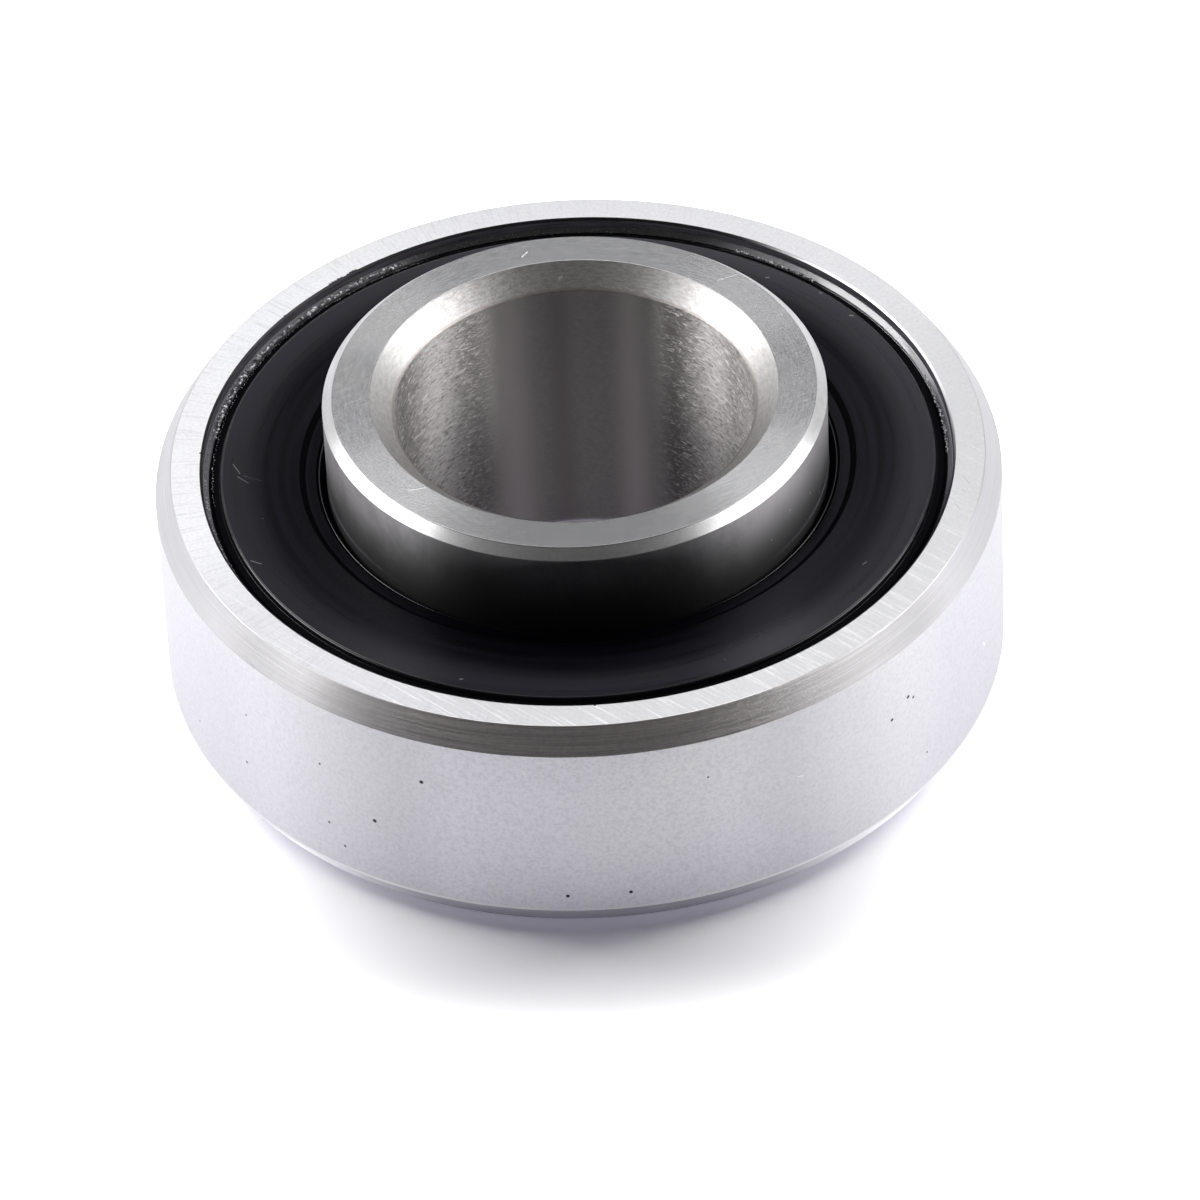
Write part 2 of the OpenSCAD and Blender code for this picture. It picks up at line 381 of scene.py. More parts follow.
def ground_outside():
    """The outer ring's ground outside: satin, with a fine grain, large soft tints, a few dark pits and pale scuffs,
    painted shade towards the sides and back and on the flanks, and a painted glint along its lower edge
    """
    finish = Finish("ground_outside", 1.0, 0.45)
    finish.brushed(0.7)
    strokes = finish.noise(finish.round_place(55.0, 0.0, 9.0), detail=3.0, roughness=0.7)
    grain = finish.noise(finish.place, scale=5.0, detail=4.0, roughness=0.75)
    tints = finish.noise(finish.round_place(1.6, 0.0, 0.05), detail=1.0)
    tint = finish.mix(finish.ramp(tints, 0.42, 0.70), (0.97, 0.96, 1.0), (0.99, 0.985, 1.0))
    # Painted shade: darker and bluer towards the sides and back than in front
    tint = finish.mix(finish.ramp(finish.side_y, -0.85, -0.5), tint, (0.80, 0.795, 0.83))
    # Painted shade on each flank, about a third of the way round from the front
    off_side = finish.math("ABSOLUTE", finish.side_x)
    flank_shade = finish.math("MULTIPLY", finish.ramp(off_side, 0.28, 0.48), finish.ramp(off_side, 0.60, 0.84, 1.0, 0.0))
    tint = finish.mix(finish.math("MULTIPLY", flank_shade, 0.55), tint, (0.70, 0.695, 0.72))
    tint = finish.mix(finish.ramp(grain, 0.30, 0.62, 0.28, 0.0), tint, (0.50, 0.50, 0.54))
    tint = finish.mix(finish.ramp(strokes, 0.60, 0.74, 0.0, 0.35), tint, (0.92, 0.92, 0.94))
    pits = finish.specks(0.42, 0.28, 0.03)
    for turn, height, reach in OUTSIDE_PITS:
        pits = finish.math("MAXIMUM", pits, finish.spot(round_point(turn, outer_r, height), reach))
    # A painted glint: a white band along the lower edge of the outside, which the listed scuffs then join
    scuffs_and_edge_glint = finish.ramp(finish.height, rim_chamfer_z + 0.10, rim_chamfer_z + 0.16, 1.0, 0.0)
    for start, end, width in OUTSIDE_SCUFFS:
        scuffs_and_edge_glint = finish.math("MAXIMUM", scuffs_and_edge_glint, finish.scratch(round_point(*start), round_point(*end), width))
    tint = finish.mix(scuffs_and_edge_glint, tint, (1.0, 1.0, 1.0))
    finish.colour(finish.mix(pits, tint, (0.06, 0.05, 0.05)))
    finish.roughness(finish.ramp(grain, 0.25, 0.75, 0.50, 0.42))
    finish.bump(grain, 0.006)
    return finish.material


def turned_corner():
    """The outer ring's upper corner: olive grey in front and greyer and darker to the sides and back, which is painted
    light and shade, with painted shade on the flanks, and hairlines and streaks that run round the ring
    """
    finish = Finish("turned_corner", 1.0, 0.35)
    finish.brushed(0.5)
    streaks = finish.noise(finish.round_place(4.0, 14.0, 20.0), detail=6.0, roughness=0.8, distortion=0.3)
    hairlines = finish.noise(finish.round_place(2.5, 45.0, 60.0), detail=2.0, roughness=0.6)
    specks = finish.noise(finish.place, scale=5.0, detail=3.0, roughness=0.7)
    tint = finish.mix(finish.ramp(streaks, 0.36, 0.62), (0.76, 0.70, 0.69), (0.92, 0.885, 0.88))
    tint = finish.mix(finish.ramp(hairlines, 0.32, 0.60, 0.40, 0.0), tint, (0.26, 0.25, 0.24))
    tint = finish.mix(finish.ramp(specks, 0.35, 0.6, 0.2, 0.0), tint, (0.34, 0.34, 0.35))
    # Painted light and shade: warmer and lighter in front, greyer and darker to the sides and back
    tint = finish.mix(finish.ramp(finish.side_y, -0.85, -0.4, 0.0, 0.8), tint, (0.72, 0.72, 0.75))
    # Painted shade on each flank, to narrow the highlight there
    off_side = finish.math("ABSOLUTE", finish.side_x)
    flank_shade = finish.math("MULTIPLY", finish.ramp(off_side, 0.28, 0.60), finish.ramp(off_side, 0.76, 0.88, 1.0, 0.45))
    tint = finish.mix(finish.math("MULTIPLY", flank_shade, 0.75), tint, (0.34, 0.34, 0.35))
    tint = finish.mix(finish.ramp(hairlines, 0.56, 0.70, 0.0, 0.25), tint, (0.80, 0.79, 0.80))
    for turn, radius, height, reach, shade in CORNER_SPOTS:
        tint = finish.mix(finish.spot(round_point(turn, radius, height), reach), tint, shade)
    finish.colour(tint)
    finish.roughness(finish.ramp(streaks, 0.3, 0.7, 0.42, 0.28))
    finish.bump(streaks, 0.012)
    return finish.material


def lower_corner():
    """The outer ring's lower corner, ground like its outside, with painted shade in front and painted light to the
    sides and back
    """
    finish = Finish("lower_corner", 1.0, 0.6)
    finish.brushed(0.85)
    lines = finish.noise(finish.round_place(3.0, 12.0, 16.0), detail=4.0)
    tint = finish.mix(finish.ramp(lines, 0.3, 0.7), (0.62, 0.61, 0.65), (0.72, 0.71, 0.75))
    # Painted light and shade: lavender grey in front, near white to the sides and back
    finish.colour(finish.mix(finish.ramp(finish.side_y, -0.98, -0.7), tint, (0.96, 0.95, 0.98)))
    finish.bump(lines, 0.004)
    return finish.material


def nose_corner():
    """The nose's broken edge: bright and smooth, with fine lines round it"""
    finish = Finish("nose_corner", 1.0, 0.32)
    finish.brushed(0.5)
    lines = finish.noise(finish.round_place(3.0, 22.0, 22.0), detail=5.0, roughness=0.7)
    grain = finish.noise(finish.place, scale=7.0, detail=3.0)
    tint = finish.mix(finish.ramp(lines, 0.3, 0.7), (0.56, 0.555, 0.56), (0.68, 0.675, 0.68))
    finish.colour(finish.mix(finish.ramp(grain, 0.3, 0.6, 0.25, 0.0), tint, (0.42, 0.42, 0.43)))
    finish.bump(lines, 0.004)
    return finish.material


def ground_face():
    """The outer ring's faces: light grey, painted brightest at the left and lighter at the back, with painted shade in
    front and at the left front, and slanting grinding lines
    """
    finish = Finish("ground_face", 1.0, 0.42)
    across = finish.noise(finish.round_place(120.0, 0.5, 0.0), detail=3.0, roughness=0.7)
    arcs = finish.node("ShaderNodeVectorRotate", None, finish.place, (0.0, 0.0, 0.0), (0.0, 0.0, 1.0), 0.75)
    arcs = finish.node("ShaderNodeVectorMath", "MULTIPLY", arcs.outputs[0], (0.25, 7.0, 1.0)).outputs[0]
    slanted = finish.noise(arcs, detail=3.0, roughness=0.7, distortion=0.2)
    grain = finish.noise(finish.place, scale=6.0, detail=3.0, roughness=0.7)
    # Painted light and shade: lighter at the left, darker at the right
    tint = finish.mix(finish.ramp(finish.side_x, -0.85, -0.1), (0.74, 0.74, 0.765), (0.56, 0.56, 0.57))
    # Painted shade in front, and painted light at the back
    tint = finish.mix(finish.ramp(finish.side_y, -0.9, -0.3, 0.2, 0.0), tint, (0.46, 0.46, 0.47))
    tint = finish.mix(finish.ramp(finish.side_y, 0.0, 0.8, 0.0, 0.5), tint, (0.80, 0.80, 0.83))
    # Painted shade at the left front
    left_front_shade = finish.math("MULTIPLY", finish.ramp(finish.side_x, -0.35, -0.1, 0.5, 0.0),
                             finish.ramp(finish.side_y, -0.6, -0.2, 1.0, 0.0))
    tint = finish.mix(left_front_shade, tint, (0.50, 0.50, 0.52))
    left = finish.ramp(finish.side_x, -0.6, 0.1, 0.26, 0.10)
    ticks = finish.noise(finish.round_place(130.0, 0.5, 0.0), detail=2.0, roughness=0.5)
    tint = finish.mix(finish.math("MULTIPLY", finish.ramp(ticks, 0.34, 0.48, 1.0, 0.0), left), tint, (0.42, 0.42, 0.46))
    front = finish.ramp(finish.side_y, -0.8, 0.1, 0.7, 0.15)
    tint = finish.mix(finish.math("MULTIPLY", finish.ramp(slanted, 0.52, 0.68), front), tint, (0.76, 0.76, 0.78))
    tint = finish.mix(finish.ramp(grain, 0.36, 0.6, 0.18, 0.0), tint, (0.38, 0.38, 0.39))
    for start, end, width in FACE_SCRATCHES:
        tint = finish.mix(finish.scratch(round_point(*start), round_point(*end), width), tint, (0.44, 0.44, 0.46))
    bites = None
    for turn, radius, height, reach in FACE_BITES:
        bite = finish.spot(round_point(turn, radius, height), reach)
        bites = bite if bites is None else finish.math("MAXIMUM", bites, bite)
    finish.colour(finish.mix(bites, tint, (0.04, 0.04, 0.05)))
    finish.roughness(finish.ramp(across, 0.3, 0.7, 0.40, 0.44))
    finish.bump(slanted, 0.003)
    return finish.material


def recess_turning():
    """The seal's recess in the outer ring, turned and left dull slate grey"""
    finish = Finish("recess_turning", 0.7, 0.55)
    lines = finish.noise(finish.round_place(6.0, 9.0, 14.0), detail=4.0)
    finish.colour(finish.mix(finish.ramp(lines, 0.35, 0.65), (0.16, 0.155, 0.19), (0.34, 0.33, 0.38)))
    finish.bump(lines, 0.006)
    return finish.material


def recess_corner():
    """The broken edge of the recess: a painted highlight at the right back, near black painted shade elsewhere"""
    finish = Finish("recess_corner", 1.0, 0.4)
    # Painted highlight at the right back; painted shade, near black, everywhere else
    bright = finish.math("MULTIPLY", finish.ramp(finish.side_x, 0.45, 0.8), finish.ramp(finish.side_y, -0.2, 0.3))
    finish.colour(finish.mix(bright, (0.03, 0.028, 0.03), (0.85, 0.85, 0.87)))
    return finish.material


def ball_groove():
    """The rings' ball grooves and lands, honed bright"""
    finish = Finish("ball_groove", 1.0, 0.12)
    lines = finish.noise(finish.round_place(4.0, 0.0, 20.0), detail=3.0)
    finish.colour(finish.mix(lines, (0.66, 0.66, 0.67), (0.76, 0.76, 0.77)))
    finish.roughness(finish.ramp(lines, 0.3, 0.7, 0.10, 0.16))
    finish.bump(lines, 0.0008)
    return finish.material


def nose_face():
    """The nose's end face: mid grey, with hair-fine turning and a few scratches, a painted highlight on each side and
    painted shade in front and behind
    """
    finish = Finish("nose_face", 1.0, 0.22)
    finish.brushed(0.3, outward=True)
    hair = finish.noise(finish.round_place(14.0, 16.0, 0.0), detail=5.0, roughness=0.75, distortion=0.3)
    crossed = finish.node("ShaderNodeVectorRotate", None, finish.place, (0.0, 0.0, 0.0), (0.0, 0.0, 1.0), -0.5)
    crossed = finish.node("ShaderNodeVectorMath", "MULTIPLY", crossed.outputs[0], (0.5, 9.0, 1.0)).outputs[0]
    crossed = finish.noise(crossed, detail=3.0, roughness=0.7, distortion=0.3)
    grain = finish.noise(finish.place, scale=8.0, detail=3.0, roughness=0.7)
    clouds = finish.noise(finish.place, scale=0.25, detail=2.0)
    tint = finish.mix(finish.ramp(hair, 0.35, 0.65), (0.40, 0.40, 0.415), (0.56, 0.56, 0.58))
    tint = finish.mix(finish.ramp(crossed, 0.54, 0.70, 0.0, 0.45), tint, (0.74, 0.74, 0.76))
    tint = finish.mix(finish.ramp(crossed, 0.30, 0.44, 0.35, 0.0), tint, (0.30, 0.30, 0.31))
    tint = finish.mix(finish.ramp(grain, 0.35, 0.62, 0.5, 0.0), tint, (0.27, 0.27, 0.275))
    tint = finish.mix(finish.ramp(grain, 0.62, 0.72, 0.0, 0.5), tint, (0.86, 0.86, 0.88))
    tint = finish.mix(finish.ramp(clouds, 0.4, 0.65, 0.0, 0.25), tint, (0.52, 0.51, 0.49))
    # Painted highlight on each side (glow)
    off_side = finish.math("ABSOLUTE", finish.side_x)
    glow = finish.math("MULTIPLY", finish.ramp(off_side, 0.50, 0.80), finish.ramp(off_side, 0.90, 0.99, 1.0, 0.0))
    tint = finish.mix(finish.math("MULTIPLY", glow, 0.6), tint, (0.66, 0.66, 0.67))
    # Painted shade in front and behind
    tint = finish.mix(finish.ramp(finish.side_y, -1.0, -0.7, 0.85, 0.0), tint, (0.16, 0.16, 0.165))
    tint = finish.mix(finish.ramp(finish.side_y, 0.70, 0.98, 0.0, 0.30), tint, (0.20, 0.20, 0.205))
    for start, end, width, shade in NOSE_SCRATCHES:
        tint = finish.mix(finish.scratch(round_point(*start), round_point(*end), width), tint, shade)
    finish.colour(tint)
    finish.roughness(finish.ramp(grain, 0.35, 0.65, 0.26, 0.18))
    finish.bump(grain, 0.003)
    return finish.material


def nose_lead():
    """The lead-in at the nose's bore: a fine satin, mottled, with a brown line at its lower edge, painted shade at the
    front and mottled painted shade at the back
    """
    finish = Finish("nose_lead", 1.0, 0.36)
    fine = finish.noise(finish.place, scale=9.0, detail=4.0, roughness=0.7)
    mottle = finish.noise(finish.round_place(22.0, 6.0, 6.0), detail=4.0, roughness=0.7)
    tint = finish.mix(finish.ramp(mottle, 0.30, 0.66), (0.42, 0.405, 0.395), (0.54, 0.535, 0.53))
    tint = finish.mix(finish.ramp(fine, 0.35, 0.6, 0.25, 0.0), tint, (0.32, 0.31, 0.30))
    tint = finish.mix(finish.ramp(finish.height, nose_z - nose_lead_z + 0.06, nose_z - nose_lead_z + 0.14, 0.6, 0.0),
                      tint, (0.26, 0.22, 0.20))
    for start, end, width, shade in LEAD_MARKS:
        tint = finish.mix(finish.scratch(round_point(*start), round_point(*end), width), tint, shade)
    # Painted shade at the back, broken up by the mottle (behind), and at the front
    behind = finish.math("MULTIPLY", finish.ramp(finish.side_y, 0.75, 0.95), finish.ramp(mottle, 0.35, 0.6, 0.6, 0.1))
    tint = finish.mix(finish.ramp(finish.side_y, -1.0, -0.9, 0.5, 0.0), tint, (0.12, 0.12, 0.12))
    finish.colour(finish.mix(behind, tint, (0.25, 0.235, 0.23)))
    finish.roughness(finish.ramp(mottle, 0.3, 0.7, 0.42, 0.34))
    finish.bump(fine, 0.010)
    return finish.material


def nose_land():
    """The ground land round the nose, with painted shade that grows darker down to the seal's lip, in front and in a
    band on the left, a painted highlight on the right, and a pale line at its foot
    """
    finish = Finish("nose_land", 1.0, 0.32)
    finish.brushed(0.85)
    lines = finish.noise(finish.round_place(3.0, 0.0, 7.0), detail=4.0, roughness=0.7)
    blotches = finish.noise(finish.round_place(9.0, 0.0, 0.5), detail=4.0, roughness=0.7)
    tint = finish.mix(lines, (0.70, 0.68, 0.685), (0.88, 0.86, 0.865))
    tint = finish.mix(finish.ramp(blotches, 0.35, 0.6, 0.35, 0.0), tint, (0.40, 0.39, 0.39))
    # Painted shade in a band on the left, to narrow the highlight there
    left = finish.math("MULTIPLY", finish.ramp(finish.side_x, -0.75, -0.5), finish.ramp(finish.side_x, -0.45, -0.2, 1.0, 0.0))
    tint = finish.mix(finish.math("MULTIPLY", left, 0.6), tint, (0.22, 0.22, 0.225))
    # Painted highlight on the right
    tint = finish.mix(finish.ramp(finish.side_x, 0.55, 0.75, 0.0, 0.7), tint, (1.0, 0.97, 0.99))
    # Painted shade: darker down to the seal's lip
    down = finish.ramp(finish.height, 11.4, 15.2, 0.92, 0.0)
    tint = finish.mix(down, tint, (0.10, 0.10, 0.105))
    # Painted shade in front
    tint = finish.mix(finish.ramp(finish.side_y, -0.98, -0.75, 0.6, 0.0), tint, (0.14, 0.14, 0.145))
    sides = finish.ramp(finish.side_y, -0.75, -0.35)
    # A pale, less metallic line at the land's foot, left out in front
    foot = finish.ramp(finish.math("ABSOLUTE", finish.math("SUBTRACT", finish.height, 11.70)), 0.06, 0.14, 0.9, 0.0)
    foot = finish.math("MULTIPLY", foot, finish.ramp(finish.noise(finish.place, scale=6.0), 0.30, 0.60, 0.3, 1.0))
    pale_foot_line = finish.math("MULTIPLY", foot, sides)
    tint = finish.mix(pale_foot_line, tint, (0.62, 0.61, 0.72))
    finish.give(finish.shader.inputs["Metallic"], finish.math("SUBTRACT", 1.0, pale_foot_line))
    for turn, height, reach in LAND_SPECKS:
        tint = finish.mix(finish.spot(round_point(turn, inner_land_r, height), reach), tint, (1.0, 1.0, 1.0))
    finish.colour(tint)
    finish.bump(lines, 0.0015)
    return finish.material


def honed_bore():
    """The bore: warm dark grey, with short honing flecks, painted reflection bands along it, and light and dark strokes
    in its two brightest bands, the light ones painted glints
    """
    finish = Finish("honed_bore", 1.0, 0.5)
    finish.brushed(0.95)
    flecks = finish.noise(finish.round_place(30.0, 0.0, 8.0), detail=3.0, roughness=0.6, distortion=0.8)
    tint = finish.mix(finish.ramp(flecks, 0.35, 0.7), (0.38, 0.365, 0.355), (0.46, 0.445, 0.435))
    # Painted reflection bands, light and dark, along the bore
    for turn, width, shade in BORE_REFLECTION_BANDS:
        middle = round_point(turn, 1.0, 0.0)
        away = finish.node("ShaderNodeVectorMath", "DISTANCE", finish.round_place(1.0, 0.0, 0.0), middle)
        tint = finish.mix(finish.ramp(away.outputs["Value"], 0.0, width, 0.8, 0.0), tint, shade)
    # Honing strokes painted only in the two brightest bands (zone); the pale ones (light) are painted glints
    zone = finish.ramp(finish.math("ABSOLUTE", finish.side_x), 0.40, 0.65)
    strokes = finish.noise(finish.round_place(19.0, 0.0, 7.0), detail=4.0, roughness=0.7, distortion=1.2)
    dark = finish.math("MULTIPLY", zone, finish.ramp(strokes, 0.34, 0.50, 0.65, 0.0))
    light = finish.math("MULTIPLY", zone, finish.ramp(strokes, 0.52, 0.64, 0.0, 0.85))
    tint = finish.mix(dark, tint, (0.16, 0.15, 0.145))
    finish.colour(finish.mix(light, tint, (1.0, 0.98, 0.97)))
    finish.roughness(finish.ramp(flecks, 0.3, 0.7, 0.44, 0.54))
    finish.bump(finish.math("MULTIPLY", strokes, zone), 0.14)
    return finish.material


def moulded_rubber():
    """The seal's face: blue-black nitrile rubber with a faint grain, pale dust and short scratches, and a painted sheen
    that grows towards its outer edge
    """
    finish = Finish("moulded_rubber", 0.0, 0.30)
    outside = finish.ramp(finish.radius, 14.2, 16.7)
    finish.give(finish.shader.inputs["Specular IOR Level"],
                finish.math("MULTIPLY", finish.ramp(outside, 0.0, 1.0, 0.05, 0.15),
                            finish.ramp(finish.side_x, -0.8, 0.7, 0.85, 1.5)))
    finish.shader.inputs["Specular Tint"].default_value = (0.86, 0.86, 1.0, 1.0)
    grain = finish.noise(finish.place, scale=9.0, detail=3.0)
    rings = finish.noise(finish.round_place(1.2, 2.2, 0.0), detail=3.0)
    tint = finish.mix(finish.ramp(rings, 0.35, 0.65), (0.0015, 0.0015, 0.003), (0.004, 0.004, 0.008))
    # Painted sheen: a bluish lift towards the outer edge
    tint = finish.mix(outside, tint, (0.011, 0.0108, 0.0155))
    marks = finish.specks(0.8, 0.12, 0.03)
    for start, end, width in SEAL_SCRATCHES:
        marks = finish.math("MAXIMUM", marks, finish.scratch(round_point(*start), round_point(*end), width))
    finish.colour(finish.mix(marks, tint, (0.14, 0.14, 0.155)))
    finish.roughness(finish.ramp(rings, 0.3, 0.7, 0.26, 0.36))
    finish.bump(grain, 0.003)
    return finish.material


def hollow_rubber():
    """The seal's hollows, dull and black: painted shade in the trench beside the bead, on the lip's floor and in the
    crease
    """
    finish = Finish("hollow_rubber", 0.0, 0.6)
    finish.shader.inputs["Specular IOR Level"].default_value = 0.03
    grain = finish.noise(finish.place, scale=6.0, detail=2.0)
    finish.colour(finish.mix(grain, (0.0005, 0.0005, 0.001), (0.002, 0.002, 0.003)))
    return finish.material


def edge_rubber():
    """The seal's shoulder and lip crest, moulded smooth and shiny"""
    finish = Finish("edge_rubber", 0.0, 0.16)
    finish.shader.inputs["Specular IOR Level"].default_value = 0.8
    uneven = finish.noise(finish.round_place(14.0, 0.0, 0.0), detail=3.0)
    finish.colour(finish.mix(uneven, (0.003, 0.003, 0.005), (0.008, 0.008, 0.012)))
    finish.give(finish.shader.inputs["Specular IOR Level"],
                finish.math("MULTIPLY", finish.ramp(finish.side_y, -0.95, -0.6, 0.12, 0.8),
                            finish.ramp(finish.side_x, -0.1, 0.4, 1.0, 0.75)))
    finish.roughness(finish.ramp(uneven, 0.3, 0.7, 0.13, 0.24))
    finish.bump(uneven, 0.01)
    return finish.material


def bead_rubber():
    """The seal's bead: shiny, but torn and grainy round the back and left, with pale grain on the torn rubber that is
    partly painted glints, a painted sheen on its back half, a painted highlight at the right back and painted shade
    straight behind
    """
    finish = Finish("bead_rubber", 0.0, 0.18)
    finish.shader.inputs["Specular IOR Level"].default_value = 1.0
    torn = finish.ramp(finish.side_x, 0.45, 0.72, 1.0, 0.0)
    crumbs = finish.noise(finish.place, scale=7.0, detail=4.0, roughness=0.75)
    smooth = finish.noise(finish.round_place(9.0, 3.0, 3.0), detail=2.0)
    # Pale grain on the torn rubber, partly painted glints
    pale = finish.math("MULTIPLY", torn, finish.ramp(crumbs, 0.60, 0.72))
    tint = finish.mix(finish.ramp(smooth, 0.3, 0.7), (0.012, 0.012, 0.015), (0.024, 0.023, 0.029))
    # Painted sheen: lighter on the back half and round to the sides
    back_sheen = finish.ramp(finish.side_y, -0.35, -0.05)
    tint = finish.mix(back_sheen, tint, (0.14, 0.137, 0.158))
    # Painted highlight at the right back
    right_back_highlight = finish.math("MULTIPLY", finish.ramp(finish.side_x, 0.68, 0.73), finish.ramp(finish.side_y, 0.20, 0.28))
    tint = finish.mix(right_back_highlight, tint, (0.50, 0.50, 0.52))
    # Painted shade straight behind, with less gloss there
    middle = finish.ramp(finish.side_y, 0.84, 0.95)
    tint = finish.mix(middle, tint, (0.004, 0.004, 0.006))
    finish.give(finish.shader.inputs["Specular IOR Level"], finish.ramp(middle, 0.0, 1.0, 1.0, 0.35))
    finish.colour(finish.mix(pale, tint, (0.34, 0.34, 0.36)))
    finish.roughness(finish.ramp(torn, 0.0, 1.0, 0.15, 0.42))
    finish.bump(smooth, 0.006)
    finish.bump(finish.math("MULTIPLY", crumbs, torn), 0.06)
    return finish.material


def ball_steel():
    """Polished ball steel"""
    finish = Finish("ball_steel", 1.0, 0.06)
    haze = finish.noise(finish.place, scale=0.8, detail=3.0)
    finish.colour(finish.mix(haze, (0.74, 0.74, 0.76), (0.82, 0.82, 0.84)))
    finish.roughness(finish.ramp(haze, 0.3, 0.7, 0.05, 0.09))
    return finish.material


def pressed_strip():
    """Cold rolled strip, pressed into the cage"""
    finish = Finish("pressed_strip", 1.0, 0.32)
    rolling = finish.noise(finish.place, scale=2.5, detail=4.0, roughness=0.7)
    finish.colour(finish.mix(rolling, (0.46, 0.45, 0.43), (0.66, 0.65, 0.63)))
    finish.roughness(finish.ramp(rolling, 0.3, 0.7, 0.28, 0.4))
    finish.bump(rolling, 0.004)
    return finish.material


def rivet_wire():
    """Soft steel wire, headed into a rivet"""
    finish = Finish("rivet_wire", 1.0, 0.28)
    dents = finish.noise(finish.place, scale=4.0, detail=3.0)
    finish.colour(finish.mix(dents, (0.52, 0.51, 0.50), (0.70, 0.69, 0.68)))
    finish.bump(dents, 0.01)
    return finish.material


def rounded(corners):
    """Points of a closed section in millimetres, with an arc at each corner between two short flats.
    A corner is (radius, height, rounding), and the corners run against the clock."""
    points = []
    for number, (r, z, reach) in enumerate(corners):
        here = Vector((r, z))
        back = Vector(corners[number - 1][:2]) - here
        ahead = Vector(corners[(number + 1) % len(corners)][:2]) - here
        room = min(back.length, ahead.length) * 0.45
        back.normalize()
        ahead.normalize()
        half = back.angle(ahead) / 2
        if reach == 0 or abs(half - math.pi / 2) < 0.03:
            points.append(here)
            continue
        along = min(reach / math.tan(half), room - flat_margin if room > 2 * flat_margin else room / 2)
        radius = along * math.tan(half)
        centre = here + (back + ahead).normalized() * (radius / math.sin(half))
        start = here + back * along
        sweep = (start - centre).angle_signed(here + ahead * along - centre)
        margin = min(flat_margin, room - along)
        points.append(here + back * (along + margin))
        for step in range(round_steps + 1):
            turn = Matrix.Rotation(-sweep * step / round_steps, 2)
            points.append(centre + turn @ (start - centre))
        points.append(here + ahead * (along + margin))
    return points


def mirrored(points):
    """The same section turned about the bearing's middle plane, still against the clock"""
    return [Vector((point.x, ring_w - point.y)) for point in reversed(points)]


def arc(centre_r, centre_z, radius, start, end, steps):
    """Corners without rounding along an arc, from one angle to another in degrees"""
    corners = []
    for step in range(steps + 1):
        angle = math.radians(start + (end - start) * step / steps)
        corners.append((centre_r + radius * math.cos(angle), centre_z + radius * math.sin(angle), 0))
    return corners


def outer_ring_section():
    """Outside, corner, face, recess, seal groove and seat, then the ball groove, and the same below"""
    top = [
        (outer_r, ring_w - rim_chamfer_z, turned_round),
        (outer_r - rim_chamfer_r, ring_w, ground_round),
        (recess_r + recess_edge, ring_w, sharp_round),
        (recess_r, ring_w - recess_edge, sharp_round),
        (recess_r, ring_w - recess_wall_h, sharp_round),
        (groove_r, ring_w - groove_top_depth, sharp_round),
        (groove_r, ring_w - seat_depth, sharp_round),
        (outer_land_r, ring_w - seat_depth, ground_round),
    ]
    centre_r = outer_race_r - race_r
    reach = math.degrees(math.acos((outer_land_r - centre_r) / race_r))
    groove = arc(centre_r, mid_z, race_r, reach, -reach, 24)
    bottom = [(r, ring_w - z, reach) for r, z, reach in reversed(top)]
    return rounded(top + groove + bottom)


def inner_ring_section():
    """Land and ball groove outside, foot, bore and nose"""
    centre_r = inner_race_r + race_r
    reach = math.degrees(math.acos((centre_r - inner_land_r) / race_r))
    groove = arc(centre_r, mid_z, race_r, 180 + reach, 180 - reach, 24)
    return rounded([
        (inner_land_r, nose_z - nose_edge_z, ground_round),
        (inner_land_r - nose_edge_r, nose_z, ground_round),
        (bore_r + nose_lead_r, nose_z, ground_round),
        (bore_r, nose_z - nose_lead_z, turned_round),
        (bore_r, foot_lead, turned_round),
        (bore_r + foot_lead, 0, ground_round),
        (inner_land_r - foot_edge, 0, ground_round),
        (inner_land_r, foot_edge, ground_round),
    ] + groove)


def seal_section():
    """Bead, trench, shoulder, dished face, lip zone, crease and lip, seen from the axis outwards"""
    face_z = ring_w - shoulder_depth
    chord = shoulder_r - lip_zone_r
    dish_r = (chord * chord / 4 + dish_depth * dish_depth) / (2 * dish_depth)
    spread = math.degrees(math.asin(chord / 2 / dish_r))
    middle_r = (shoulder_r + lip_zone_r) / 2
    dish = arc(middle_r, face_z - dish_depth + dish_r, dish_r, 270 + spread, 270 - spread, 14)[1:-1]
    lip_floor_z = ring_w - lip_floor_depth
    tip_z = ring_w - tip_depth
    return rounded([
        (groove_r - seal_fit, ring_w - seat_depth, moulded_round),
        (groove_r - seal_fit, ring_w - groove_top_depth - seal_fit, moulded_round),
        (bead_r, ring_w - recess_wall_h - seal_fit, sharp_round),
        (bead_r, ring_w - bead_depth, bead_round),
        (trench_r, ring_w - bead_foot_depth, sharp_round),
        (trench_r, ring_w - trench_depth, sharp_round),
        (flank_r, ring_w - trench_depth, sharp_round),
        (shoulder_foot_r, ring_w - foot_depth, sharp_round),
        (shoulder_r + shoulder_lean, ring_w - foot_depth + shoulder_lean, sharp_round),
        (shoulder_r, face_z, shoulder_round),
    ] + dish + [
        (lip_zone_r, face_z, moulded_round),
        (lip_floor_r, lip_floor_z, moulded_round),
        (crease_r, lip_floor_z, sharp_round),
        (crease_r - crease_w / 2, lip_floor_z - crease_depth, sharp_round),
        (crease_r - crease_w, lip_floor_z, crest_round),
        (lip_r, tip_z, sharp_round),
        (lip_r, tip_z - lip_t, sharp_round),
        (crease_r, ring_w - web_depth, moulded_round),
        (outer_land_r - seal_fit, ring_w - web_depth, sharp_round),
        (outer_land_r + seal_fit, ring_w - seat_depth, sharp_round),
    ])


